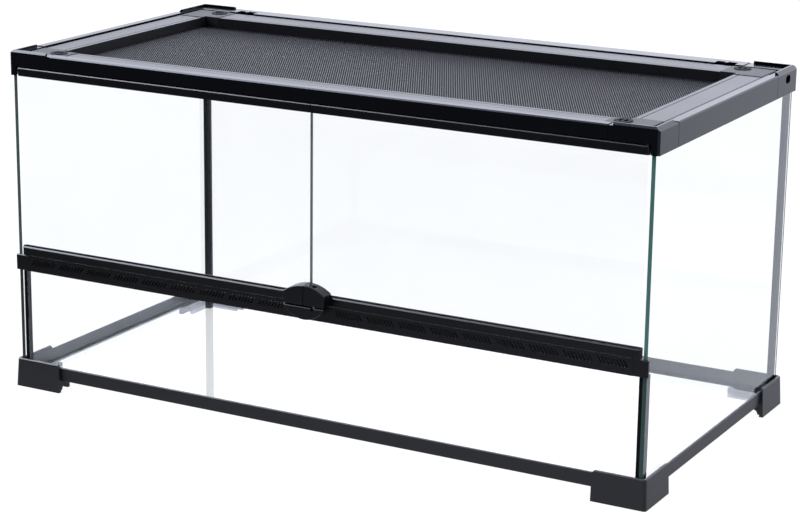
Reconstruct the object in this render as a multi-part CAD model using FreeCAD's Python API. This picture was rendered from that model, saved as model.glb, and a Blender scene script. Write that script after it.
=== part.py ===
import FreeCAD, Part
import math
import os

# Front-opening glass terrarium with a lift-off mesh lid.
# Millimetres, +Z up, the front faces -Y. The origin is on the ground, under the middle of the whole box
# with handles and feet; save() moves each piece there.

# Overall sizes
rim_length = 900.0        # outer length of the top rim
rim_depth = 450.0         # outer depth of the top rim
rim_top = 449.0           # height of the rim's rails above the ground
rim_height = 29.8         # height of the rim's outer face
sill_top = 181.0          # height of the vent bar's top above the ground

# Glass
pane = 5.0                # thickness of the fixed panes
door_pane = 4.0           # thickness of the door panes
pane_gap = 0.3            # room between a pane and its slot
seam = 0.3                # hairline between two pieces of a frame

# Bottom frame and feet
foot_clearance = 16.0     # height of the bottom rails above the ground
base_skin = 2.2           # thickness of a bottom rail's outer wall
base_edge = 0.8           # bevel on a bottom rail's outer edges
base_flange = 12.0        # width of a bottom rail's flange under the glass
flange_thick = 2.5        # thickness of that flange
base_bite = 15.5          # how high a bottom rail covers a pane
foot_leg = 65.0           # length of a foot's outer wall, from the rail's corner
foot_rise = 4.0           # how far a foot stands above the rail
foot_wall = 3.3           # thickness of a foot's wall near its top
foot_flare = 1.9          # how far the wall leans out towards the ground
foot_edge = 1.0           # bevel along the top of a foot's wall
foot_round = 4.0          # radius of a foot's outer corner
foot_bevel = 3.0          # cut-off at the upper end of a foot's wall
heel_width = 19.0         # width of the heel under the rails
heel_lift = 3.0           # height of the heel's legs above the ground
arch_radius = 6.0         # radius of the arch along the heel
arch_out = 8.5            # distance of the arch's middle from the wall

# Posts and vent bar
front_post_width = 4.7    # width of a lower front post
front_post_depth = 13.5   # depth of a lower front post
front_post_tip = 0.6      # width of its inner end, behind a slanted side
back_post_width = 6.0     # width of a back post
back_post_depth = 12.0    # depth of a back post
vent_height = 20.8        # height of the vent bar
vent_depth = 12.0         # depth of the vent bar
vent_edge = 0.8           # bevel on the vent bar's front edges
vent_bite = 4.3           # how far the lower front pane goes into the vent bar
vent_end_length = 10.2    # length of the end block between the side panes
vent_end_cover = 7.8      # length of the end block in front of a side pane
slot_width = 2.0          # width of a vent slot
slot_height = 8.5         # height of a vent slot
slot_pitch = 4.6          # distance between vent slots
slot_lean = 3.0           # sideways lean of a vent slot over its half height
slots_in_group = 8        # vent slots side by side
group_gap = 9.2           # least distance between groups of slots
vent_margin = 6.0         # plain stretch at the ends of a row of slots

# Top rim
rim_skin = 4.2            # plastic outside a pane in the rim
rim_inner_skin = 2.7      # plastic inside a pane in the rim
rim_bite = 12.5           # how deep a pane stands in the rim
rim_edge = 1.5            # bevel on the outer top edge of a rail
rail_seam = 0.8           # joint between a side rail and a corner cap
front_rail_width = 12.5   # width of the front rail's top
cap_leg = 63.0            # length of a corner cap along the front and back
front_cap_side = 55.5     # length of a front cap along the side
back_cap_side = 70.0      # length of a back cap along the side
cap_drop = 0.8            # how far a cap's top lies below the rails
cap_corner = 2.5          # bevel on a cap's upright edge
cap_end_wall = 2.7        # plastic that closes the end of a side pane's slot
lip_height = 2.8          # how far a cap's lip stands above the rails
lip_side_bevel = 5.0      # bevel along the outer edge of a lip at the side
lip_long_bevel = 2.5      # bevel along the outer edge of a lip at the front or back
lip_thick = 2.0           # width of a lip's level top
lip_setback = 6.0         # plain stretch between a lip's end and the joint
peg_hole_radius = 5.2     # rounded ends of the blind slot in the outer side of a back cap
peg_hole_straight = 6.0   # distance between those ends
peg_hole_depth = 9.0      # depth of that slot
peg_hole_in = 33.5        # distance of the slot's middle from the back of the rim
peg_hole_down = 10.2      # distance of that slot below the rail's top
ledge = 10.0              # width of the ledge that carries the lid
ledge_thick = 4.0         # thickness of that ledge
channel_room = 11.0       # clear width of the cable channel in the back rail
channel_wall = 3.0        # wall between the cable channel and the lid
flange = 4.0              # thickness of the back rail's top

# Cable inlets and their gates
inlet_from_end = 88.0     # distance of an inlet's middle from the rim's end
inlet_half = 14.0         # half the length of an inlet
inlet_margin = 1.0        # plastic beside an inlet, to the channel's walls
gate_length = 28.0        # length of a gate's plate, from its rib's middle
gate_thick = 2.5          # thickness of a gate's plate
gate_play = 0.3           # room round a gate
gate_rib = 5.0            # width of a gate's finger rib
gate_rib_gap = 0.5        # room between the rib and the inlet's sides
gate_rise = 0.8           # how far the rib stands above the rail
guide_width = 2.0         # width of the guides under a gate
guide_thick = 2.0         # thickness of those guides

# Lid
lid_gap = 4.5             # room between the lid and the rim
lid_drop = 1.5            # how far the lid lies below the rails' top
lid_height = 17.0         # height of the lid's bars
lid_side_width = 36.5     # width of a side bar
lid_front_width = 27.0    # width of the front bar
lid_back_width = 44.5     # width of the back bar
lid_wall = 3.0            # thickness of the bars' walls
lid_plate = 6.0           # thickness of a lid corner's top
lid_bevel = 0.8           # bevel on the lid's outer top edge
lid_corner_long = 58.0    # length of a lid corner along the front and back
lid_corner_past = 8.0     # how far a lid corner goes past the bar's width along the side
corner_rise = 0.6         # how far a lid corner stands above the bars
bead_width = 6.0          # width of the bead along the bars' inner edge
bead_groove = 1.2         # width of the groove beside that bead
bead_depth = 0.8          # depth of that groove
mesh_ledge = 3.0          # width of the ledge that carries the mesh
mesh_ledge_thick = 2.0    # thickness of that ledge
mesh_gap = 0.3            # room between the mesh and the bars
mesh_thick = 0.8          # thickness of the mesh
mesh_border = 5.0         # plain edge of the mesh
mesh_strand = 4.0         # width of the strand between two gaps
mesh_columns = 24         # gaps along the lid
mesh_rows = 12            # gaps across the lid

# Lid locks
lock_in = 13.0            # distance of a lock's axis from the lid's long edge
lock_along = 40.0         # distance of a lock's axis from the lid's short edge
lock_shaft = 7.5          # radius of a lock's shaft
lock_hub = 9.0            # radius of the hub below the shaft
lock_head = 11.0          # radius of a lock's head
lock_head_thick = 0.9     # thickness of a lock's head
lock_reach = 4.0          # how far a turned tongue goes into the rim
tongue_half = 4.0         # half the width of a tongue
tongue_thick = 3.5        # thickness of a tongue
tongue_play = 0.6         # room round a turning tongue
pocket_radius = 6.0       # finger pockets in a lock's head
pocket_depth = 2.6        # depth of those pockets
grip_half = 1.4           # half the width of the grip between the pockets
turn_gap = 0.05           # room between a turning shaft and its bore

# Doors
door_gap = 1.0            # room above and below a door
door_proud = 0.5          # how far the door strips stand before the rim
strip_edge = 1.5          # bevel on a strip's upper front edge
door_wall = 1.7           # plastic before and behind a door pane
door_web = 6.0            # plastic above and below a door pane
door_lip = 5.0            # how far a strip covers a door pane
back_lip_more = 0.8       # how much higher the bottom strip is behind the pane
door_side_gap = 2.0       # room between a door and the side pane
door_back_gap = 1.3       # room behind a closed door's top strip
door_middle_gap = 1.0     # room between the two doors
door_pane_past = 1.5      # how far a door pane goes past the hinge axis
hinge_pin = 2.0           # radius of a hinge pin
pin_bite = 6.0            # how far a pin's bore goes into the frame
pin_seat = 5.0            # how far a pin goes into the door strip
pin_end_gap = 0.3         # room at the end of a pin
seat_gap = 0.02           # room round a pin in its strip

# Handles and lock
handle_half = 29.0        # half the width of the two handles together
handle_side = 14.7        # height of a handle at its outer end
handle_crown = 10.1       # how far the handles rise towards the middle
handle_depth = 16.0       # how far a handle stands before the door strip
handle_slit = 1.0         # gap between the two handles
handle_edge = 1.2         # rounding of a handle's front edge
handle_lift = 0.8         # height of a handle above the bottom of its strip
latch_depth = 15.5        # how far the latch base stands before the vent bar
latch_drop = 17.4         # height of the latch base
latch_rise = 0.6          # how far the latch base stands above the vent bar
latch_edge = 2.0          # bevel on the latch base's upper front edge
barrel_radius = 4.0       # radius of the lock barrel
barrel_along = 12.0       # distance of the lock barrel from the middle
barrel_sink = 0.4         # how far the barrel's face lies below the handle
key_width = 1.2           # width of the key slot
key_length = 5.0          # length of the key slot
key_depth = 3.0           # depth of the key slot
bolt_thick = 3.0          # width of the lock's bolt
bolt_length = 6.6         # length of the lock's bolt
bolt_drop = 5.0           # how far the bolt reaches below the handle
bolt_play = 0.7           # room round the bolt

# How far a cutting block goes past the face that it opens
past = 1.0

# Places worked out from the sizes above
half_length = rim_length / 2
half_depth = rim_depth / 2
rim_bottom = rim_top - rim_height
pane_top = rim_bottom + rim_bite

side_out = half_length - rim_skin - pane_gap
side_in = side_out - pane
long_out = half_depth - rim_skin - pane_gap
long_in = long_out - pane
side_pane_end = half_depth - cap_end_wall - pane_gap
rail_inner_x = side_in - pane_gap - rim_inner_skin
rail_front_y = -half_depth + front_rail_width
channel_back = long_in - pane_gap - rim_inner_skin
channel_front = channel_back - channel_room
rail_back_y = channel_front - channel_wall
flange_bottom = rim_top - flange
cap_top = rim_top - cap_drop
lip_top = rim_top + lip_height
cap_start_x = half_length - cap_leg
cap_start_front = -half_depth + front_cap_side
cap_start_back = half_depth - back_cap_side

base_out_x = side_out + pane_gap + base_skin
base_out_y = long_out + pane_gap + base_skin
base_in_x = base_out_x - base_flange
base_in_y = base_out_y - base_flange
pane_bottom = foot_clearance + flange_thick
floor_top = pane_bottom + pane
base_top = pane_bottom + base_bite
foot_top = base_top + foot_rise

post_out = side_in - pane_gap
front_post_in = post_out - front_post_width
back_post_in = post_out - back_post_width
vent_bottom = sill_top - vent_height
vent_front = -half_depth
vent_back = vent_front + vent_depth
vent_half = post_out - vent_end_length

inlet_middle = half_length - inlet_from_end
gate_travel = inlet_half - gate_rib / 2 - gate_rib_gap
gate_top = flange_bottom - gate_play
gate_bottom = gate_top - gate_thick

lid_top = rim_top - lid_drop
lid_bottom = lid_top - lid_height
ledge_bottom = lid_bottom - ledge_thick
lid_x = rail_inner_x - lid_gap
lid_front = rail_front_y + lid_gap
lid_back = rail_back_y - lid_gap
lid_inner_x = lid_x - lid_side_width
lid_inner_front = lid_front + lid_front_width
lid_inner_back = lid_back - lid_back_width
mesh_bottom = lid_bottom + mesh_ledge_thick
corner_top = lid_top + corner_rise
plate_bottom = lid_top - lid_plate
tongue_top = plate_bottom - tongue_play / 2
tongue_bottom = tongue_top - tongue_thick
tongue_length = lock_in + lid_gap + lock_reach
lock_x = lid_x - lock_along

strip_depth = door_pane + 2 * (pane_gap + door_wall)
strip_front = -half_depth - door_proud
strip_back = strip_front + strip_depth
hinge_y = strip_front + strip_depth / 2
hinge_x = side_in - door_side_gap - strip_depth / 2
door_free = door_middle_gap / 2
door_front = hinge_y - door_pane / 2
door_back = hinge_y + door_pane / 2
strip_bottom = sill_top + door_gap
strip_shoulder = strip_bottom + door_web + door_lip
top_strip_top = rim_bottom + door_lip + door_web
front_rail_bottom = top_strip_top + door_gap
door_room_back = strip_back + door_back_gap
door_pane_bottom = strip_bottom + door_web
door_pane_top = rim_bottom + door_lip

handle_bottom = strip_bottom + handle_lift
handle_top = handle_bottom + handle_side + handle_crown
handle_front = strip_front - handle_depth
latch_top = sill_top + latch_rise
latch_front = vent_front - latch_depth
barrel_y = strip_front - handle_depth / 2
bolt_bottom = handle_bottom - bolt_drop

foot_reach = base_out_y + foot_wall + foot_flare
centring = -(handle_front + foot_reach) / 2


def box(x0, x1, y0, y1, z0, z1):
    """A block between two corners, whose ends may come in either order."""
    low = FreeCAD.Vector(min(x0, x1), min(y0, y1), min(z0, z1))
    return Part.makeBox(abs(x1 - x0), abs(y1 - y0), abs(z1 - z0), low)


def face_of(points):
    return Part.Face(Part.makePolygon(points + points[:1]))


def prism_x(outline, x0, x1):
    """An outline of (y, z) points drawn along X."""
    face = face_of([FreeCAD.Vector(x0, y, z) for y, z in outline])
    return face.extrude(FreeCAD.Vector(x1 - x0, 0, 0))


def prism_y(outline, y0, y1):
    """An outline of (x, z) points drawn along Y."""
    face = face_of([FreeCAD.Vector(x, y0, z) for x, z in outline])
    return face.extrude(FreeCAD.Vector(0, y1 - y0, 0))


def prism_z(outline, z0, z1):
    """An outline of (x, y) points drawn upwards."""
    face = face_of([FreeCAD.Vector(x, y, z0) for x, y in outline])
    return face.extrude(FreeCAD.Vector(0, 0, z1 - z0))


def upright(radius, x, y, z0, z1):
    """An upright cylinder."""
    return Part.makeCylinder(radius, z1 - z0, FreeCAD.Vector(x, y, z0))


def mirrored(shape):
    """The same piece for the left end of the tank."""
    return shape.mirror(FreeCAD.Vector(0, 0, 0), FreeCAD.Vector(1, 0, 0))


def joined(first, *others):
    """Several blocks as one clean solid."""
    return first.multiFuse(list(others)).removeSplitter()


def without(shape, *tools):
    for tool in tools:
        shape = shape.cut(tool)
    return shape


# Panes, each also the cutter of its own slot when it is grown

def pane_block(x0, x1, y0, y1, z0, z1, grow):
    return box(x0 - grow, x1 + grow, y0 - grow, y1 + grow, z0 - grow, z1 + grow)


def right_pane(grow=0.0):
    return pane_block(side_in, side_out, -side_pane_end, side_pane_end, pane_bottom, pane_top, grow)


def back_pane(grow=0.0):
    half = back_post_in - pane_gap
    return pane_block(-half, half, long_in, long_out, pane_bottom, pane_top, grow)


def lower_front_pane(grow=0.0):
    half = front_post_in - pane_gap
    return pane_block(-half, half, -long_out, -long_in, pane_bottom, vent_bottom + vent_bite, grow)


def floor_pane():
    along = side_in - pane_gap
    across = long_in - pane_gap
    return box(-along, along, -across, across, pane_bottom, floor_top)


def right_door_pane(grow=0.0):
    far = hinge_x + door_pane_past
    return pane_block(door_free, far, door_front, door_back, door_pane_bottom, door_pane_top, grow)


# Bottom frame

def wall_outline(outer):
    """Section of a bottom rail's outer wall, as (across, z)."""
    inner = outer - math.copysign(base_skin, outer)
    edge = outer - math.copysign(base_edge, outer)
    return [(inner, foot_clearance), (edge, foot_clearance), (outer, foot_clearance + base_edge),
            (outer, base_top - base_edge), (edge, base_top), (inner, base_top)]


def bottom_right_rail():
    """An angle: a wall outside the pane, and a flange under the glass."""
    flange_end = base_out_y - base_skin - seam
    wall = prism_y(wall_outline(base_out_x), -base_out_y, base_out_y)
    carrier = box(base_in_x, base_out_x - base_skin, -flange_end, flange_end, foot_clearance, pane_bottom)
    return joined(wall, carrier)


def bottom_long_rail(side):
    wall_half = side_in - pane_gap - seam
    flange_half = base_in_x - seam
    wall = prism_x(wall_outline(side * base_out_y), -wall_half, wall_half)
    carrier = box(-flange_half, flange_half, side * base_in_y, side * (base_out_y - base_skin),
                  foot_clearance, pane_bottom)
    return joined(wall, carrier)


def foot_wall_outline(spread, z):
    """An angle round the bottom frame's front right corner, with a rounded outer corner."""
    end_x = base_out_x - foot_leg
    end_y = -base_out_y + foot_leg
    far_x = base_out_x + spread
    far_y = -base_out_y - spread
    bend = foot_round * (1 - math.sqrt(0.5))
    corners = [(far_x, far_y + foot_round), (far_x, end_y), (base_out_x, end_y), (base_out_x, -base_out_y),
               (end_x, -base_out_y), (end_x, far_y), (far_x - foot_round, far_y)]
    points = [FreeCAD.Vector(x, y, z) for x, y in corners]
    arc = Part.Arc(points[-1], FreeCAD.Vector(far_x - bend, far_y + bend, z), points[0]).toShape()
    return Part.Wire(Part.makePolygon(points).Edges + [arc])


def end_bevel(end, way):
    """The wedge off the upper end of a foot's wall, as (along, z); way is where the end faces."""
    return [(end + way * past, foot_top - foot_bevel - past), (end + way * past, foot_top + past),
            (end - way * (foot_bevel + past), foot_top + past)]


def right_front_foot():
    """An outer wall round the corner, and an arched heel that carries the rails."""
    wall = Part.makeLoft([foot_wall_outline(foot_wall + foot_flare, 0),
                          foot_wall_outline(foot_wall, foot_top - foot_edge),
                          foot_wall_outline(foot_wall - foot_edge, foot_top)], True, True)
    end_x = base_out_x - foot_leg
    end_y = -base_out_y + foot_leg
    reach = foot_wall + foot_flare + past
    wall = without(wall, prism_y(end_bevel(end_x, -1), -base_out_y - reach, -base_out_y),
                   prism_x(end_bevel(end_y, 1), base_out_x, base_out_x + reach))
    heel_x = base_out_x - heel_width
    heel_y = -base_out_y + heel_width
    long_heel = box(end_x, heel_x, -base_out_y, heel_y, heel_lift, foot_clearance)
    short_heel = box(heel_x, base_out_x, heel_y, end_y, heel_lift, foot_clearance)
    long_arch = Part.makeCylinder(arch_radius, heel_x - end_x + past,
                                  FreeCAD.Vector(end_x - past, -base_out_y + arch_out, heel_lift),
                                  FreeCAD.Vector(1, 0, 0))
    short_arch = Part.makeCylinder(arch_radius, end_y - heel_y + past,
                                   FreeCAD.Vector(base_out_x - arch_out, heel_y, heel_lift),
                                   FreeCAD.Vector(0, 1, 0))
    corner = box(heel_x, base_out_x, -base_out_y, heel_y, 0, foot_clearance)
    return joined(wall, corner, long_heel.cut(long_arch), short_heel.cut(short_arch))


def right_back_foot():
    return right_front_foot().mirror(FreeCAD.Vector(0, 0, 0), FreeCAD.Vector(0, 1, 0))


# Posts and vent bar

def right_front_post():
    """A post that narrows behind the lower front pane."""
    front = -long_out
    back = front + front_post_depth
    outline = [(post_out, front), (front_post_in, front), (front_post_in, -long_in + pane_gap),
               (post_out - front_post_tip, back), (post_out, back)]
    return prism_z(outline, floor_top, vent_bottom)


def right_back_post():
    return box(back_post_in, post_out, long_out - back_post_depth, long_out, floor_top, rim_bottom)


def vent_slots():
    """Leaning slots in groups, mirrored about the latch."""
    first = handle_half + vent_margin + slot_lean
    last = vent_half - vent_margin - slot_lean - slot_width
    group = (slots_in_group - 1) * slot_pitch
    groups = int((last - first + group_gap) // (group + group_gap))
    step = (last - first - group) / (groups - 1)
    middle = (vent_bottom + vent_bite + pane_gap + sill_top) / 2
    low = middle - slot_height / 2
    high = middle + slot_height / 2
    wires = []
    for index in range(groups * slots_in_group):
        x = first + (index // slots_in_group) * step + (index % slots_in_group) * slot_pitch
        outline = [(x + slot_lean, low), (x + slot_lean + slot_width, low),
                   (x - slot_lean + slot_width, high), (x - slot_lean, high)]
        for side in (-1, 1):
            points = [FreeCAD.Vector(side * u, vent_front, z) for u, z in outline]
            wires.append(Part.makePolygon(points + points[:1]))
    return wires


def front_bevel(z, side):
    """The wedge off a front edge of the vent bar, as (y, z); side is 1 for the top edge."""
    return [(vent_front - past, z + side * past), (vent_front - past, z - side * (vent_edge + past)),
            (vent_front + vent_edge + past, z + side * past)]


def vent_bar():
    half = vent_half - seam
    outline = [(-half, vent_bottom), (half, vent_bottom), (half, sill_top), (-half, sill_top)]
    points = [FreeCAD.Vector(x, vent_front, z) for x, z in outline]
    face = Part.Face([Part.makePolygon(points + points[:1])] + vent_slots())
    bar = face.extrude(FreeCAD.Vector(0, vent_depth, 0))
    return without(bar, lower_front_pane(pane_gap),
                   prism_x(front_bevel(sill_top, 1), -half_length, half_length),
                   prism_x(front_bevel(vent_bottom, -1), -half_length, half_length))


def right_vent_end():
    end = joined(box(vent_half, post_out, vent_front, vent_back, vent_bottom, sill_top),
                 box(vent_half, post_out + vent_end_cover, vent_front, -side_pane_end - pane_gap,
                     vent_bottom, sill_top))
    return without(end, lower_front_pane(pane_gap),
                   prism_x(front_bevel(sill_top, 1), vent_half, half_length),
                   prism_x(front_bevel(vent_bottom, -1), vent_half, half_length),
                   upright(hinge_pin + turn_gap, hinge_x, hinge_y, sill_top - pin_bite, sill_top + past))


# Top rim

def side_outline(top):
    """Section of the right rim with the lid's ledge, as (x, z)."""
    return [(half_length, rim_bottom), (half_length, top), (rail_inner_x, top), (rail_inner_x, lid_bottom),
            (rail_inner_x - ledge, lid_bottom), (rail_inner_x - ledge, ledge_bottom),
            (rail_inner_x, ledge_bottom), (rail_inner_x, rim_bottom)]


def front_outline(top):
    """Section of the front rim above the doors, as (y, z)."""
    return [(-half_depth, front_rail_bottom), (-half_depth, top), (rail_front_y, top),
            (rail_front_y, lid_bottom), (rail_front_y + ledge, lid_bottom),
            (rail_front_y + ledge, ledge_bottom), (door_room_back, ledge_bottom),
            (door_room_back, front_rail_bottom)]


def back_outline(top):
    """Section of the back rim with its cable channel, as (y, z)."""
    return [(half_depth, rim_bottom), (half_depth, top), (rail_back_y, top), (rail_back_y, lid_bottom),
            (rail_back_y - ledge, lid_bottom), (rail_back_y - ledge, ledge_bottom),
            (channel_front, ledge_bottom), (channel_front, top - flange), (channel_back, top - flange),
            (channel_back, rim_bottom)]


def top_wedge(outer, top, size):
    """The wedge off an outer top edge, as (across, z)."""
    way = math.copysign(1, outer)
    return [(outer + way * past, top - size - past), (outer + way * past, top + past),
            (outer - way * (size + past), top + past)]


def top_right_rail():
    start = cap_start_front + rail_seam
    end = cap_start_back - rail_seam
    return without(prism_y(side_outline(rim_top), start, end), right_pane(pane_gap),
                   prism_y(top_wedge(half_length, rim_top, rim_edge), start, end))


def long_rail(outline, outer):
    half = cap_start_x - seam
    return prism_x(outline, -half, half).cut(prism_x(top_wedge(outer, rim_top, rim_edge), -half, half))


def top_front_rail():
    return long_rail(front_outline(rim_top), -half_depth)


def top_back_rail():
    """The rail with its cable channel and two inlets, which are open towards the lid."""
    rail = long_rail(back_outline(rim_top), half_depth)
    start = inlet_middle - gate_length - gate_travel - gate_play
    end = inlet_middle + gate_rib / 2 + gate_travel + gate_play
    guides = []
    inlets = []
    for side in (-1, 1):
        for wall, inwards in ((channel_front, 1), (channel_back, -1)):
            guides.append(box(side * start, side * end, wall, wall + inwards * guide_width,
                              gate_bottom - guide_thick, gate_bottom))
        middle = side * inlet_middle
        low = middle - inlet_half
        high = middle + inlet_half
        inlets.append(box(low, high, channel_front + inlet_margin, channel_back - inlet_margin,
                          flange_bottom - past, rim_top + past))
        inlets.append(box(low, high, rail_back_y - past, channel_back - inlet_margin,
                          flange_bottom, rim_top + past))
    return without(joined(rail, *guides), back_pane(pane_gap), *inlets)


def cap_corner_cut(side):
    """The wedge off a cap's upright outer edge; side is -1 at the front and 1 at the back."""
    outline = [(half_length - cap_corner - past, side * (half_depth + past)),
               (half_length + past, side * (half_depth + past)),
               (half_length + past, side * (half_depth - cap_corner - past))]
    return prism_z(outline, rim_bottom - past, lip_top + past)


def cap_lips(side, start_y):
    """Square lips along a right cap's two outer edges; start_y is where the cap's side leg starts."""
    edge = side * half_depth
    side_width = lip_side_bevel + lip_thick
    long_width = lip_long_bevel + lip_thick
    side_end = start_y + side * lip_setback
    long_end = cap_start_x + lip_setback
    return (box(half_length - side_width, half_length, edge, side_end, cap_top - past, lip_top),
            box(long_end, half_length, edge, edge - side * long_width, cap_top - past, lip_top))


def lip_bevels(side):
    """The wedges off the outer edges of a right cap's lips."""
    return (prism_y(top_wedge(half_length, lip_top, lip_side_bevel), -half_depth, half_depth),
            prism_x(top_wedge(side * half_depth, lip_top, lip_long_bevel), cap_start_x - past, half_length))


def tongue_room(side):
    """Room in the rim's inner wall for a turned lid lock's tongue."""
    wall = rail_front_y if side < 0 else rail_back_y
    sweep = math.sqrt(tongue_length ** 2 - (lock_in + lid_gap) ** 2)
    return box(lock_x - tongue_half - tongue_play, lock_x + sweep + tongue_play,
               wall - side * past, wall + side * (lock_reach + tongue_play),
               tongue_bottom - tongue_play, tongue_top + tongue_play)


def right_front_cap():
    cap = joined(prism_y(side_outline(cap_top), -half_depth, cap_start_front),
                 prism_x(front_outline(cap_top), cap_start_x, half_length), *cap_lips(-1, cap_start_front))
    door_room = box(cap_start_x - past, post_out, -half_depth - past, door_room_back,
                    rim_bottom - past, front_rail_bottom)
    bore = upright(hinge_pin + turn_gap, hinge_x, hinge_y,
                   front_rail_bottom - past, front_rail_bottom + pin_bite)
    return without(cap, *lip_bevels(-1), cap_corner_cut(-1), door_room, bore, tongue_room(-1),
                   right_pane(pane_gap))


def peg_hole():
    """A blind slot with rounded ends."""
    middle = half_depth - peg_hole_in
    level = rim_top - peg_hole_down
    reach = peg_hole_straight / 2
    ends = [Part.makeCylinder(peg_hole_radius, peg_hole_depth + past,
                              FreeCAD.Vector(half_length + past, middle + way * reach, level),
                              FreeCAD.Vector(-1, 0, 0)) for way in (-1, 1)]
    between = box(half_length + past, half_length - peg_hole_depth, middle - reach, middle + reach,
                  level - peg_hole_radius, level + peg_hole_radius)
    return joined(between, *ends)


def right_back_cap():
    cap = joined(prism_y(side_outline(cap_top), cap_start_back, half_depth),
                 prism_x(back_outline(cap_top), cap_start_x, half_length), *cap_lips(1, cap_start_back))
    return without(cap, *lip_bevels(1), cap_corner_cut(1), peg_hole(), tongue_room(1),
                   right_pane(pane_gap), back_pane(pane_gap))


def right_cable_gate():
    """A plate under the inlet, with a rib to push it along."""
    plate = box(inlet_middle - gate_length, inlet_middle + gate_rib / 2,
                channel_front + gate_play, channel_back - gate_play, gate_bottom, gate_top)
    rib_gap = inlet_margin + gate_rib_gap
    rib = box(inlet_middle - gate_rib / 2, inlet_middle + gate_rib / 2,
              channel_front + rib_gap, channel_back - rib_gap, gate_top, rim_top + gate_rise)
    return joined(plate, rib)


# Lid

def bar_outline(width):
    """Section of a lid bar, as (distance from the outer edge, z)."""
    bead = width - bead_width
    return [(0, lid_bottom), (0, lid_top - lid_bevel), (lid_bevel, lid_top),
            (bead - bead_groove, lid_top), (bead - bead_groove, lid_top - bead_depth),
            (bead, lid_top - bead_depth), (bead, lid_top), (width, lid_top), (width, mesh_bottom),
            (width + mesh_ledge, mesh_bottom), (width + mesh_ledge, lid_bottom),
            (width - lid_wall, lid_bottom), (width - lid_wall, lid_top - lid_wall),
            (lid_wall, lid_top - lid_wall), (lid_wall, lid_bottom)]


def lid_right_bar():
    outline = [(lid_x - u, z) for u, z in bar_outline(lid_side_width)]
    return prism_y(outline, lid_inner_front + lid_corner_past + seam,
                   lid_inner_back - lid_corner_past - seam)


def lid_long_bar(side):
    width = lid_front_width if side < 0 else lid_back_width
    edge = lid_front if side < 0 else lid_back
    outline = [(edge - side * u, z) for u, z in bar_outline(width)]
    half = lid_x - lid_corner_long - seam
    return prism_x(outline, -half, half)


def corner_block(side, u0, u1, v0, v1, z0, z1):
    """A block placed by its distances from the lid's outer edges: u from the end, v from the long side."""
    edge = lid_front if side < 0 else lid_back
    return box(lid_x - u0, lid_x - u1, edge - side * v0, edge - side * v1, z0, z1)


def lid_right_corner(side):
    """A hollow L-shaped piece with a bore for its lock and a window for the lock's tongue."""
    width = lid_front_width if side < 0 else lid_back_width
    edge = lid_front if side < 0 else lid_back
    wall = lid_wall
    long_leg = lid_corner_long
    side_leg = width + lid_corner_past
    corner = joined(corner_block(side, 0, long_leg, 0, width, lid_bottom, corner_top),
                    corner_block(side, 0, lid_side_width, 0, side_leg, lid_bottom, corner_top),
                    corner_block(side, lid_side_width, long_leg, width, width + mesh_ledge,
                                 lid_bottom, mesh_bottom),
                    corner_block(side, lid_side_width, lid_side_width + mesh_ledge, width, side_leg,
                                 lid_bottom, mesh_bottom))
    hollow_x = corner_block(side, wall, long_leg - wall, wall, width - wall, lid_bottom - past, plate_bottom)
    hollow_y = corner_block(side, wall, lid_side_width - wall, wall, side_leg - wall,
                            lid_bottom - past, plate_bottom)
    bevel_y = prism_y(top_wedge(lid_x, corner_top, lid_bevel), edge, edge - side * side_leg)
    bevel_x = prism_x(top_wedge(edge, corner_top, lid_bevel), lid_x - long_leg, lid_x)
    bore = upright(lock_shaft + turn_gap, lock_x, edge - side * lock_in,
                   plate_bottom - past, corner_top + past)
    sweep = math.sqrt(tongue_length ** 2 - (lock_in - wall) ** 2)
    window = corner_block(side, lock_along - sweep - tongue_play, lock_along + tongue_half + tongue_play,
                          -past, wall + past, tongue_bottom - tongue_play, plate_bottom)
    return without(corner, hollow_x, hollow_y, bevel_x, bevel_y, bore, window)


def right_lid_lock(side):
    """A turning head, its shaft through the lid corner, and a tongue that points to the lid's end."""
    edge = lid_front if side < 0 else lid_back
    y = edge - side * lock_in
    tip = lock_x + tongue_length - tongue_half
    head_top = corner_top + lock_head_thick
    lock = joined(upright(lock_head, lock_x, y, corner_top, head_top),
                  upright(lock_shaft, lock_x, y, tongue_bottom, corner_top),
                  upright(lock_hub, lock_x, y, tongue_bottom, tongue_top),
                  box(tip, lock_x, y - tongue_half, y + tongue_half, tongue_bottom, tongue_top),
                  upright(tongue_half, tip, y, tongue_bottom, tongue_top))
    floor = head_top - pocket_depth
    pockets = upright(pocket_radius, lock_x, y, floor, head_top + past)
    grip = box(lock_x - grip_half, lock_x + grip_half, y - lock_head, y + lock_head, floor, head_top + past)
    return without(lock, pockets.cut(grip))


def lid_mesh():
    """The net as one holed sheet that lies on the bars' ledges."""
    x1 = lid_inner_x - mesh_gap
    y0 = lid_inner_front + mesh_gap
    y1 = lid_inner_back - mesh_gap
    pitch_x = (2 * (x1 - mesh_border) + mesh_strand) / mesh_columns
    pitch_y = (y1 - y0 - 2 * mesh_border + mesh_strand) / mesh_rows
    frames = [(-x1, x1, y0, y1)]
    for column in range(mesh_columns):
        for row in range(mesh_rows):
            left = -x1 + mesh_border + column * pitch_x
            near = y0 + mesh_border + row * pitch_y
            frames.append((left, left + pitch_x - mesh_strand, near, near + pitch_y - mesh_strand))
    wires = []
    for left, right, near, far in frames:
        outline = [(left, near), (right, near), (right, far), (left, far), (left, near)]
        wires.append(Part.makePolygon([FreeCAD.Vector(x, y, mesh_bottom) for x, y in outline]))
    return Part.Face(wires).extrude(FreeCAD.Vector(0, 0, mesh_thick))


# Doors

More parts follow.
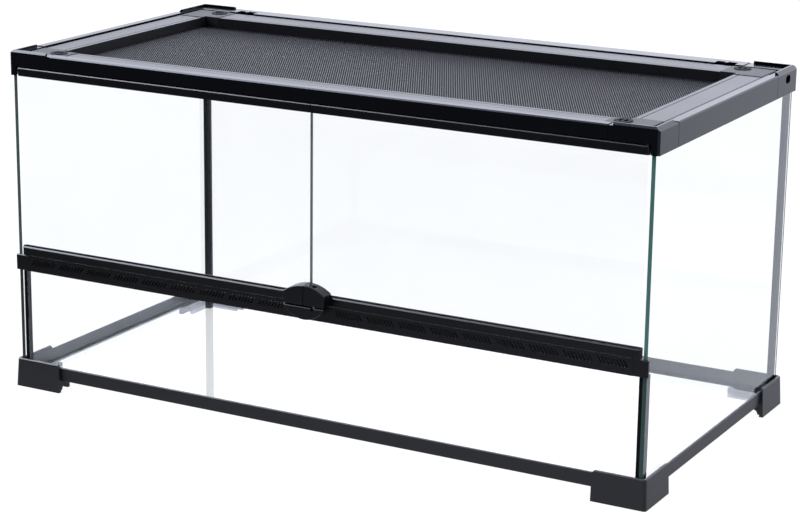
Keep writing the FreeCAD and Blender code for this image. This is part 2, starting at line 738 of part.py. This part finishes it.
def right_top_strip():
    strip = joined(box(door_free, hinge_x, strip_front, strip_back, rim_bottom, top_strip_top),
                   upright(strip_depth / 2, hinge_x, hinge_y, rim_bottom, top_strip_top))
    hole = upright(hinge_pin + seat_gap, hinge_x, hinge_y, top_strip_top - pin_seat, top_strip_top + past)
    bevel = prism_x(top_wedge(strip_front, top_strip_top, strip_edge),
                    door_free - past, hinge_x + strip_depth)
    return without(strip, right_door_pane(pane_gap), hole, bevel)


def right_bottom_strip():
    """A channel under the door pane, a little higher behind it."""
    high = strip_shoulder + back_lip_more
    outline = [(strip_front, strip_bottom), (strip_front, strip_shoulder), (hinge_y, strip_shoulder),
               (hinge_y, high), (strip_back, high), (strip_back, strip_bottom)]
    back_half = box(hinge_x, hinge_x + strip_depth, hinge_y, strip_back, strip_bottom, high)
    strip = joined(prism_x(outline, door_free, hinge_x),
                   upright(strip_depth / 2, hinge_x, hinge_y, strip_bottom, strip_shoulder),
                   upright(strip_depth / 2, hinge_x, hinge_y, strip_bottom, high).common(back_half))
    hole = upright(hinge_pin + seat_gap, hinge_x, hinge_y, strip_bottom - past, strip_bottom + pin_seat)
    bevel = prism_x(top_wedge(strip_front, strip_shoulder, strip_edge),
                    door_free - past, hinge_x + strip_depth)
    return without(strip, right_door_pane(pane_gap), hole, bevel)


def right_hinge_pins():
    top = upright(hinge_pin, hinge_x, hinge_y, top_strip_top - pin_seat,
                  front_rail_bottom + pin_bite - pin_end_gap)
    bottom = upright(hinge_pin, hinge_x, hinge_y, sill_top - pin_bite + pin_end_gap, strip_bottom + pin_seat)
    return Part.makeCompound([top, bottom])


def edges_at(shape, y):
    """The edges that lie in the upright plane at y."""
    return [edge for edge in shape.Edges if all(abs(v.Point.y - y) < 1e-6 for v in edge.Vertexes)]


def arched_face(low, high, crown, y):
    """An upright face: level at low, straight sides up or down to high, and an arc between them."""
    left = FreeCAD.Vector(-handle_half, y, low)
    right = FreeCAD.Vector(handle_half, y, low)
    arc_left = FreeCAD.Vector(-handle_half, y, high)
    arc_right = FreeCAD.Vector(handle_half, y, high)
    arc = Part.Arc(arc_right, FreeCAD.Vector(0, y, high + crown), arc_left).toShape()
    edges = [Part.makeLine(left, right), Part.makeLine(right, arc_right), arc, Part.makeLine(arc_left, left)]
    return Part.Face(Part.Wire(edges))


def both_handles():
    """The lens of the two handles before the slit parts them."""
    face = arched_face(handle_bottom, handle_bottom + handle_side, handle_crown, handle_front)
    block = face.extrude(FreeCAD.Vector(0, strip_front - handle_front, 0))
    block = block.makeFillet(handle_edge, edges_at(block, handle_front))
    back = face.extrude(FreeCAD.Vector(0, door_front - handle_front, 0))
    pad = back.common(box(-handle_half, handle_half, strip_front, door_front,
                          strip_shoulder + pane_gap, handle_top + past))
    return joined(block, pad)


def right_handle():
    room = box(handle_slit / 2, handle_half + past, handle_front - past, door_front,
               handle_bottom - past, handle_top + past)
    bore = upright(barrel_radius + turn_gap, barrel_along, barrel_y, handle_bottom - past, handle_top + past)
    return both_handles().common(room).cut(bore)


def left_handle():
    room = box(-handle_slit / 2, -handle_half - past, handle_front - past, door_front,
               handle_bottom - past, handle_top + past)
    return both_handles().common(room)


def latch_base():
    """The lower half of the lens, on the vent bar, with a keyhole for the lock's bolt."""
    left = FreeCAD.Vector(-handle_half, vent_front, latch_top)
    right = FreeCAD.Vector(handle_half, vent_front, latch_top)
    arc = Part.Arc(right, FreeCAD.Vector(0, vent_front, latch_top - latch_drop), left).toShape()
    face = Part.Face(Part.Wire([Part.makeLine(left, right), arc]))
    block = face.extrude(FreeCAD.Vector(0, -latch_depth, 0))
    block = block.makeFillet(handle_edge, edges_at(block, latch_front))
    low = bolt_bottom - bolt_play
    way_out = box(barrel_along - bolt_thick / 2 - bolt_play, barrel_along + bolt_thick / 2 + bolt_play,
                  latch_front - past, barrel_y, low, latch_top + past)
    keyhole = upright(bolt_length / 2 + bolt_play, barrel_along, barrel_y, low, latch_top + past)
    bevel = prism_x(top_wedge(latch_front, latch_top, latch_edge), -handle_half, handle_half)
    return without(block, way_out, keyhole, bevel)


def lock_barrel():
    """A barrel with a key slot in its face and a flat bolt below."""
    arc_radius = (handle_half ** 2 + handle_crown ** 2) / (2 * handle_crown)
    lowest = barrel_along + barrel_radius
    face_z = handle_top - arc_radius + math.sqrt(arc_radius ** 2 - lowest ** 2) - barrel_sink
    barrel = joined(upright(barrel_radius, barrel_along, barrel_y, handle_bottom, face_z),
                    box(barrel_along - bolt_thick / 2, barrel_along + bolt_thick / 2,
                        barrel_y - bolt_length / 2, barrel_y + bolt_length / 2, bolt_bottom, handle_bottom))
    key = box(barrel_along - key_width / 2, barrel_along + key_width / 2,
              barrel_y - key_length / 2, barrel_y + key_length / 2, face_z - key_depth, face_z + past)
    return barrel.cut(key)


def save(name, shape):
    """Writes a piece, moved so that the origin lies under the middle of the whole."""
    placed = shape.translated(FreeCAD.Vector(0, centring, 0))
    placed.exportStep(os.path.join("parts", name + ".step"))


def save_pair(name, shape):
    """Saves a right piece and its mirror image; the name holds a place for the end."""
    save(name.format("right"), shape)
    save(name.format("left"), mirrored(shape))


os.makedirs("parts", exist_ok=True)

save("floor_glass", floor_pane())
save("back_glass", back_pane())
save("lower_front_glass", lower_front_pane())
save_pair("{}_glass", right_pane())

save_pair("bottom_{}_rail", bottom_right_rail())
save("bottom_front_rail", bottom_long_rail(-1))
save("bottom_back_rail", bottom_long_rail(1))
save_pair("front_{}_foot", right_front_foot())
save_pair("back_{}_foot", right_back_foot())

save_pair("front_{}_post", right_front_post())
save_pair("back_{}_post", right_back_post())
save("vent_bar", vent_bar())
save_pair("vent_{}_end", right_vent_end())

save_pair("top_{}_rail", top_right_rail())
save("top_front_rail", top_front_rail())
save("top_back_rail", top_back_rail())
save_pair("front_{}_cap", right_front_cap())
save_pair("back_{}_cap", right_back_cap())
save_pair("cable_gate_{}", right_cable_gate())

save_pair("lid_{}_bar", lid_right_bar())
save("lid_front_bar", lid_long_bar(-1))
save("lid_back_bar", lid_long_bar(1))
save_pair("lid_front_{}_corner", lid_right_corner(-1))
save_pair("lid_back_{}_corner", lid_right_corner(1))
save_pair("lid_lock_front_{}", right_lid_lock(-1))
save_pair("lid_lock_back_{}", right_lid_lock(1))
save("lid_mesh", lid_mesh())

save_pair("{}_door_glass", right_door_pane())
save_pair("{}_door_top_strip", right_top_strip())
save_pair("{}_door_bottom_strip", right_bottom_strip())
save_pair("{}_hinge_pins", right_hinge_pins())
save("left_handle", left_handle())
save("right_handle", right_handle())
save("latch_base", latch_base())
save("lock_barrel", lock_barrel())
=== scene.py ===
# %% [markdown]
# A glass terrarium, dressed in Blender.
# The solids come from CAD and already stand where they belong, in metres. This script gives them their
# finishes, adds the fine net of the lid, and sets up the camera, the floor and the light.

# %% Load the solids
import math

import bmesh
import bpy
from mathutils import Matrix, Vector


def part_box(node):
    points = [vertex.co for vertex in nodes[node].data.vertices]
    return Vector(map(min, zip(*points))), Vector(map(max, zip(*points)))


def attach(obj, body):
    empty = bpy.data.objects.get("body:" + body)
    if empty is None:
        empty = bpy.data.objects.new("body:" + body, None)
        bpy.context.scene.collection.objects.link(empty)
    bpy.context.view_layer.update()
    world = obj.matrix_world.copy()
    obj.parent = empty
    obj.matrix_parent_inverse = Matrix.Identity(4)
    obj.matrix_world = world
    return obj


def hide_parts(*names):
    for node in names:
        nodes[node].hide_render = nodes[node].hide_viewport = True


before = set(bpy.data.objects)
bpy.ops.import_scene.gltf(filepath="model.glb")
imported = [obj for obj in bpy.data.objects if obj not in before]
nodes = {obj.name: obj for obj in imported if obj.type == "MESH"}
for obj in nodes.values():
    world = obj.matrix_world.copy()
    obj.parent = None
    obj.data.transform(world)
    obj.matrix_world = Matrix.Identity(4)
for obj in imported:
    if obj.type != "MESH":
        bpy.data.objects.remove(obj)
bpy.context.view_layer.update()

# %% [markdown]
# The camera. A long lens stands three metres off, to the right of the doors and a little above the lid.
# A camera looks along its own -Z, so its three axes are written down from an azimuth, an elevation and a
# small roll, and become the columns of its rotation. This is easier to reason about than three Euler angles.
# Its place is counted from the middle of the rim, which the handles keep a little behind the origin.

# %% Camera
azimuth = math.radians(28.593)
elevation = math.radians(15.214)
roll = math.radians(0.744)
backward = Vector((math.sin(azimuth) * math.cos(elevation), -math.cos(azimuth) * math.cos(elevation),
                   math.sin(elevation)))
level_right = Vector((math.cos(azimuth), math.sin(azimuth), 0))
level_up = backward.cross(level_right)
rim_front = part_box("top_front_rail")[0].y
rim_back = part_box("top_back_rail")[1].y
rim_middle = Vector((0, (rim_front + rim_back) / 2, 0))
eye_distance = 3.0944
eye_right = 0.0019
eye_up = 0.1819
eye = rim_middle + backward * eye_distance + level_right * eye_right + level_up * eye_up
right = level_right * math.cos(roll) + level_up * math.sin(roll)
up = level_up * math.cos(roll) - level_right * math.sin(roll)

lens = bpy.data.cameras.new("long_lens")
lens.sensor_fit = "HORIZONTAL"
lens.sensor_width = 36.0
lens.lens = 105.05
lens.clip_end = 50.0
camera = bpy.data.objects.new("camera", lens)
camera.matrix_world = Matrix.Translation(eye) @ Matrix((right, up, backward)).transposed().to_4x4()
bpy.context.scene.collection.objects.link(camera)
bpy.context.scene.camera = camera
print("camera at", [round(c, 3) for c in eye], "with a lens of", lens.lens, "mm")

# %% [markdown]
# Shader maths. A finish is a graph of nodes, and a sum such as 0.3 + 0.1 * grain takes two Math nodes and
# three links. One small class wraps an output socket, so the sum can be written as it is read: each operator
# adds its Math node. Its method node() makes every other kind of node, settings first and sockets after.

# %% A socket that can be reckoned with
class Wire:
    """An output socket in a node tree."""

    def __init__(self, tree, socket=None):
        self.tree = tree
        self.socket = socket

    def node(self, kind, settings=None, inputs=None, output=0):
        made = self.tree.nodes.new(kind)
        for name, value in (settings or {}).items():
            setattr(made, name, value)
        for name, value in (inputs or {}).items():
            if isinstance(value, Wire):
                self.tree.links.new(value.socket, made.inputs[name])
            else:
                made.inputs[name].default_value = value
        return Wire(self.tree, made.outputs[output] if len(made.outputs) else None)

    def output(self, name):
        return Wire(self.tree, self.socket.node.outputs[name])

    def sum_of(self, operation, first, second):
        return self.node("ShaderNodeMath", {"operation": operation}, {0: first, 1: second})

    def __add__(self, other):
        return self.sum_of("ADD", self, other)

    def __radd__(self, other):
        return self.sum_of("ADD", other, self)

    def __sub__(self, other):
        return self.sum_of("SUBTRACT", self, other)

    def __rsub__(self, other):
        return self.sum_of("SUBTRACT", other, self)

    def __mul__(self, other):
        return self.sum_of("MULTIPLY", self, other)

    def __rmul__(self, other):
        return self.sum_of("MULTIPLY", other, self)

    def __pow__(self, other):
        return self.sum_of("POWER", self, other)

    def below(self, limit):
        return self.sum_of("LESS_THAN", self, limit)

    def between(self, low, high):
        capped = self.sum_of("MINIMUM", self, high)
        return capped.sum_of("MAXIMUM", capped, low)


def start_finish(name):
    """A new material with an empty graph."""
    material = bpy.data.materials.new(name)
    material.use_nodes = True
    material.node_tree.nodes.clear()
    return material, Wire(material.node_tree)


def close_finish(graph, surface):
    graph.node("ShaderNodeOutputMaterial", None, {"Surface": surface})


def colour_mix(graph, share, first, second):
    """A blend of two colours, each of them three numbers or a socket."""
    ends = [colour if isinstance(colour, Wire) else (*colour, 1) for colour in (first, second)]
    return graph.node("ShaderNodeMix", {"data_type": "RGBA"}, {0: share, 6: ends[0], 7: ends[1]}, 2)


def scaled(graph, colour, strength):
    return graph.node("ShaderNodeVectorMath", {"operation": "SCALE"}, {0: colour, "Scale": strength})


def noise(graph, place, scale, detail=2.0):
    return graph.node("ShaderNodeTexNoise", None, {"Vector": place, "Scale": scale, "Detail": detail})


print("shader helper ready")

# %% [markdown]
# Light. A product like this is shot on a bright sweep with the soft light behind it and to its right, and a
# darker room in front: black plastic then shows pale tops, grey ends and nearly black fronts. The room is a
# smooth gradient over the directions of the world, a little cool, as daylight lamps are, with one soft box
# high on the left, which draws a pale line along the bevels that face up and forward. The camera itself
# sees a plain pale room, also through glass that bends its view.

# %% The room
bpy.context.scene.view_settings.view_transform = "Standard"
bpy.context.scene.view_settings.look = "None"

room = bpy.data.worlds.new("soft_room")
room.use_nodes = True
room.node_tree.nodes.clear()
bpy.context.scene.world = room
room_graph = Wire(room.node_tree)
look_way = room_graph.node("ShaderNodeTexCoord", None, None, "Generated")
bright_way = Vector((0.25, 0.9, 0.35)).normalized()
bright_from = -0.35
bright_rise = 1.75
room_darkest = 0.02
room_brightest = 2.0
soft_box_way = Vector((-0.78, -0.15, 0.61)).normalized()
soft_box_edge = math.cos(math.radians(26))
soft_box_full = math.cos(math.radians(18))
soft_box_strength = 14.0
white = (1.0, 1.0, 1.0)
nearly_white = (0.97, 0.97, 0.97)
cool = (0.92, 0.95, 1.08)


def towards(way):
    return room_graph.node("ShaderNodeVectorMath", {"operation": "DOT_PRODUCT"},
                           {0: look_way, 1: way}, "Value")


def sight(graph):
    """1 for the camera's own view, straight or bent by glass, and 0 for light on its way elsewhere."""
    path = graph.node("ShaderNodeLightPath", None, None, "Is Camera Ray")
    return (path + path.output("Is Transmission Ray")).between(0.0, 1.0)


soft_box = ((towards(soft_box_way) - soft_box_edge) * (1 / (soft_box_full - soft_box_edge))).between(0.0, 1.0)
gradient = ((towards(bright_way) - bright_from) * bright_rise).between(room_darkest, room_brightest)
glow = gradient + soft_box * soft_box_strength
sky = room_graph.node("ShaderNodeBackground", None, {
    "Color": colour_mix(room_graph, sight(room_graph), scaled(room_graph, cool, glow), white)})
room_graph.node("ShaderNodeOutputWorld", None, {"Surface": sky})
print("room glows towards", [round(c, 2) for c in bright_way])

# %% [markdown]
# The floor is a wide pale sheet that is lit from below, like a product table, so it stays nearly white and
# only a faint shadow shows round the feet. What it sends into the plastic grows towards the back and right,
# and the sharp mirror image of it in a pane is brighter.

# %% The floor
sheet = bmesh.new()
floor_half = 12.0
bmesh.ops.create_grid(sheet, x_segments=1, y_segments=1, size=floor_half)
floor_mesh = bpy.data.meshes.new("floor")
sheet.to_mesh(floor_mesh)
sheet.free()
floor = bpy.data.objects.new("floor", floor_mesh)
bpy.context.scene.collection.objects.link(floor)

pale, pale_graph = start_finish("pale_sheet")
brighter_way = (0.5, 0.85, 0.0)
middle_level = 0.56
near_rise = 0.45
near_least = 0.015
near_most = 0.50
far_rise = 0.22
far_reach = 2.0
sharp_gain = 0.6
spot = pale_graph.node("ShaderNodeTexCoord", None, None, "Object")
along = pale_graph.node("ShaderNodeVectorMath", {"operation": "DOT_PRODUCT"},
                        {0: spot, 1: brighter_way}, "Value")
near = (along * near_rise + middle_level).between(near_least, near_most)
far = along.between(0.0, far_reach) * far_rise
sharp = pale_graph.node("ShaderNodeLightPath", None, None, "Is Singular Ray")
sent = ((near + far) * (sharp * sharp_gain + 1.0)).between(0.0, max(nearly_white))
under_light = pale_graph.node("ShaderNodeEmission", None, {
    "Color": colour_mix(pale_graph, sight(pale_graph), scaled(pale_graph, cool, sent), nearly_white)})
dull = pale_graph.node("ShaderNodeBsdfDiffuse", None, {"Color": (0.05, 0.05, 0.05, 1)})
close_finish(pale_graph, pale_graph.node("ShaderNodeAddShader", None, {0: under_light, 1: dull}))
floor_mesh.materials.append(pale)
print("floor laid")

# %% [markdown]
# Black moulded plastic. Real mouldings aren't one flat black: the mould leaves a fine grain, and the sheen
# drifts a little along each rail. A fine noise drives a small bump and the roughness, a broad one shifts the
# colour. The same function gives every plastic piece its finish, with its own grain and sheen.

# %% Plastic
drift_scale = 7.0
grain_share = 0.10
drift_share = 0.08
grain_strength = 0.10


def moulded_black(name, dark, light, sheen, grain_scale, grain_depth, index=1.42, tint=(1.0, 1.0, 1.0)):
    material, graph = start_finish(name)
    place = graph.node("ShaderNodeTexCoord", None, None, "Object")
    grain = noise(graph, place, grain_scale, 3.0)
    drift = noise(graph, place, drift_scale)
    smoothest = sheen - (grain_share + drift_share) / 2
    height = graph.node("ShaderNodeBump", None,
                        {"Strength": grain_strength, "Distance": grain_depth, "Height": grain}, "Normal")
    body = graph.node("ShaderNodeBsdfPrincipled", None, {
        "Base Color": colour_mix(graph, drift, dark, light),
        "Roughness": grain * grain_share + drift * drift_share + smoothest,
        "IOR": index,
        "Specular Tint": (*tint, 1),
        "Normal": height,
    })
    close_finish(graph, body)
    return material


rim_black = moulded_black("rim_black", (0.001, 0.001, 0.002), (0.003, 0.003, 0.0045), 0.21, 1400.0, 0.00006,
                          index=1.36, tint=(0.84, 0.89, 1.0))
lid_black = moulded_black("lid_black", (0.006, 0.006, 0.008), (0.011, 0.011, 0.014), 0.32, 1700.0, 0.00005)
corner_black = moulded_black("corner_black", (0.006, 0.006, 0.008), (0.011, 0.011, 0.014), 0.46, 900.0,
                             0.00010)
door_black = moulded_black("door_black", (0.002, 0.002, 0.0025), (0.004, 0.004, 0.005), 0.28, 1900.0, 0.00004)
dull_black = moulded_black("dull_black", (0.002, 0.002, 0.0025), (0.004, 0.004, 0.005), 0.60, 800.0, 0.00006,
                           index=1.2)
foot_black = moulded_black("foot_black", (0.015, 0.015, 0.016), (0.022, 0.022, 0.024), 0.34, 1100.0, 0.00008)
plastics = (rim_black, lid_black, corner_black, door_black, dull_black, foot_black)
print("plastic finishes:", [material.name for material in plastics])

# %% [markdown]
# Float glass. A clear pane lets nearly everything through, mirrors a little more the flatter it is seen, and
# is green along a bare cut edge, where light has come a long way through it. A true glass shader would need
# many samples to light what stands behind it, so the face is Transparent mixed with a mirror, and a cut edge
# is a second shader. The end panes are seen at a flat angle, so they also bend the camera's view, which
# shows more of the posts behind them. They show their front edges, found from the pane's own normal, with a
# painted shade that makes the edge darker below the posts' top, where a post takes the light, and are sealed
# at the back with black silicone. The doors show the edges where they meet, found from their place.

# %% Glass
glass_tint = (0.992, 0.996, 0.998, 1)
glass_index = 1.5
film_scale = 11.0
film_share = 0.02
mirror_fall = 5.0
mirror_most = 0.9
streak_scale = 60.0
# share of the edge colour kept in the painted shade below the posts' top
painted_shade_share = 0.3
edge_facing = 0.5


def clear_face(graph, place, flat_share=0.9, least_share=0.03, bends=False):
    facing = graph.node("ShaderNodeLayerWeight", None, {"Blend": 0.5}, "Facing")
    film = noise(graph, place, film_scale)
    mirrored = facing ** mirror_fall * flat_share + film * film_share + (least_share - film_share / 2)
    through = graph.node("ShaderNodeBsdfTransparent", None, {"Color": glass_tint})
    if bends:
        bent = graph.node("ShaderNodeBsdfRefraction", None,
                          {"Color": glass_tint, "Roughness": 0.0, "IOR": glass_index})
        through = graph.node("ShaderNodeMixShader", None, {0: sight(graph), 1: through, 2: bent})
    mirror = graph.node("ShaderNodeBsdfPrincipled", None, {
        "Base Color": (0.95, 0.97, 0.97, 1), "Metallic": 1.0, "Roughness": 0.0})
    return graph.node("ShaderNodeMixShader", None,
                      {0: mirrored.between(0.0, mirror_most), 1: through, 2: mirror})


def cut_edge(graph, place, deep, pale):
    streak = noise(graph, place, streak_scale)
    return graph.node("ShaderNodeBsdfPrincipled", None, {
        "Base Color": colour_mix(graph, streak, deep, pale), "Roughness": 0.14, "IOR": 1.45})


def shade_of(colour, share):
    return tuple(channel * share for channel in colour)


def end_pane(name, deep, pale, flat_share, least_share):
    material, graph = start_finish(name)
    place = graph.node("ShaderNodeTexCoord", None, None, "Object")
    along = graph.node("ShaderNodeSeparateXYZ", None, {"Vector": place.output("Normal")}, "Y")
    height = graph.node("ShaderNodeSeparateXYZ", None, {"Vector": place}, "Z")
    lit = cut_edge(graph, place, deep, pale)
    # painted shade: below the posts' top the cut edge gets a darker copy of its own colours
    painted_shade_edge = cut_edge(graph, place, shade_of(deep, painted_shade_share), shade_of(pale, painted_shade_share))
    bare = graph.node("ShaderNodeMixShader", None, {0: height.below(post_top), 1: lit, 2: painted_shade_edge})
    sealed = cut_edge(graph, place, (0.006, 0.006, 0.007), (0.012, 0.012, 0.013))
    face = clear_face(graph, place, flat_share, least_share, bends=True)
    front = graph.node("ShaderNodeMixShader", None, {0: along.below(-edge_facing), 1: face, 2: bare})
    back = (0.0 - along).below(-edge_facing)
    close_finish(graph, graph.node("ShaderNodeMixShader", None, {0: back, 1: front, 2: sealed}))
    return material


def long_pane(name):
    material, graph = start_finish(name)
    place = graph.node("ShaderNodeTexCoord", None, None, "Object")
    close_finish(graph, clear_face(graph, place))
    return material


def door_pane(name, edge_place):
    material, graph = start_finish(name)
    place = graph.node("ShaderNodeTexCoord", None, None, "Object")
    along = graph.node("ShaderNodeSeparateXYZ", None, {"Vector": place}, "X")
    bare = cut_edge(graph, place, (0.10, 0.12, 0.12), (0.16, 0.18, 0.18))
    met = (along * along).below(edge_place ** 2)
    face = clear_face(graph, place)
    close_finish(graph, graph.node("ShaderNodeMixShader", None, {0: met, 1: face, 2: bare}))
    return material


middle_edge = min(abs(corner.x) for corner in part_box("right_door_glass"))
post_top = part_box("front_right_post")[1].z
right_end_glass = end_pane("right_end_glass", (0.06, 0.18, 0.145), (0.10, 0.25, 0.205), 1.3, 0.03)
left_end_glass = end_pane("left_end_glass", (0.06, 0.09, 0.085), (0.10, 0.15, 0.14), 1.7, 0.04)
long_glass = long_pane("long_glass")
strip_margin = 1.2
door_glass = door_pane("door_glass", middle_edge * strip_margin)
panes = (right_end_glass, left_end_glass, long_glass, door_glass)
print("glass finishes:", [material.name for material in panes])

# %% [markdown]
# Metal. The lock barrel is plated and turned, so fine rings run round it; the hinge pins are plain drawn
# steel. Both are metallic, with a roughness that a stretched noise makes streaky.

# %% Metal
dark_streak = 0.8
streak_share = 0.15
streak_middle = 0.07


def bare_metal(name, colour, rough, stretch):
    material, graph = start_finish(name)
    place = graph.node("ShaderNodeTexCoord", None, None, "Object")
    drawn = graph.node("ShaderNodeMapping", None, {"Vector": place, "Scale": stretch})
    streaks = noise(graph, drawn, 1.0, 4.0)
    shade = colour_mix(graph, streaks, shade_of(colour, dark_streak), colour)
    body = graph.node("ShaderNodeBsdfPrincipled", None, {
        "Base Color": shade, "Metallic": 1.0, "Roughness": streaks * streak_share + (rough - streak_middle)})
    close_finish(graph, body)
    return material


plated = bare_metal("plated_barrel", (0.62, 0.63, 0.66), 0.22, (300.0, 300.0, 3000.0))
drawn_steel = bare_metal("drawn_steel", (0.52, 0.52, 0.53), 0.34, (2500.0, 2500.0, 90.0))
coated_net = moulded_black("coated_net", (0.012, 0.0125, 0.016), (0.022, 0.023, 0.029), 0.34, 900.0, 0.00003)
print("metal finishes:", [material.name for material in (plated, drawn_steel, coated_net)])

# %% [markdown]
# The lid's net. On the real lid it is a stretched metal net with diamonds about 3 mm wide and 6 mm long, far
# too fine to be worth cutting in CAD. A texture with holes would look flat from close by, so each strand is a
# thin rod with six sides. A diamond net is two families of straight lines, x / width + y / length = whole
# number and the same with a minus sign, each line cut off where it leaves the lid's opening.

# %% Net
low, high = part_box("lid_mesh")
diamond_width = 0.00314
diamond_length = 0.0060
strand_radius = 0.00040
strand_sides = 6
middle = (low + high) / 2
half_x = (high.x - low.x) / 2 - strand_radius
half_y = (high.y - low.y) / 2 - strand_radius


def strand(net, start, end):
    """A thin rod between two points."""
    turn = (end - start).to_track_quat("Z", "Y").to_matrix().to_4x4()
    place = Matrix.Translation((start + end) / 2) @ turn
    bmesh.ops.create_cone(net, cap_ends=True, segments=strand_sides, radius1=strand_radius,
                          radius2=strand_radius, depth=(end - start).length, matrix=place)


def family(net, slant, level):
    """Parallel strands at one level; slant is 1 or -1. Returns how many."""
    lean = slant * diamond_width / diamond_length
    reach = half_x + abs(lean) * half_y
    steps = int(reach / diamond_width)
    for step in range(-steps, steps + 1):
        foot = step * diamond_width
        limits = sorted(((foot - half_x) / lean, (foot + half_x) / lean))
        near = max(limits[0], -half_y)
        far = min(limits[1], half_y)
        if far - near > diamond_length:
            ends = [middle.xy.to_3d() + Vector((foot - lean * y, y, level)) for y in (near, far)]
            strand(net, *ends)
    return 2 * steps + 1


net = bmesh.new()
strands = family(net, 1, low.z + 3 * strand_radius) + family(net, -1, low.z + strand_radius)
net_mesh = bpy.data.meshes.new("lid_net")
net.to_mesh(net_mesh)
net.free()
lid_net = bpy.data.objects.new("lid_net", net_mesh)
bpy.context.scene.collection.objects.link(lid_net)
net_mesh.materials.append(coated_net)
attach(lid_net, "lid")
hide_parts("lid_mesh")
print("net of about", strands, "strands,", len(net_mesh.polygons), "faces")

# %% [markdown]
# Dressing the solids. Each CAD node keeps its shape and place; only its material slot is filled. The name of
# a node says what it is, so a short list of words chooses its finish, the first word that fits.

# %% Finishes by name
finish_words = [
    ("left_glass", left_end_glass),
    ("right_glass", right_end_glass),
    ("door_glass", door_glass),
    ("glass", long_glass),
    ("hinge_pins", drawn_steel),
    ("lock_barrel", plated),
    ("foot", foot_black),
    ("bottom_front_rail", foot_black),
    ("bottom_back_rail", foot_black),
    ("bottom_left_rail", foot_black),
    ("bottom_right_rail", foot_black),
    ("corner", corner_black),
    ("lid_lock", dull_black),
    ("lid_", lid_black),
    ("door", door_black),
    ("vent", door_black),
    ("handle", door_black),
    ("latch", door_black),
    ("post", dull_black),
    ("", rim_black),
]
count = {}
for name, solid in nodes.items():
    finish = next(material for word, material in finish_words if word in name)
    solid.data.materials.clear()
    solid.data.materials.append(finish)
    count[finish.name] = count.get(finish.name, 0) + 1
print("dressed:", count)
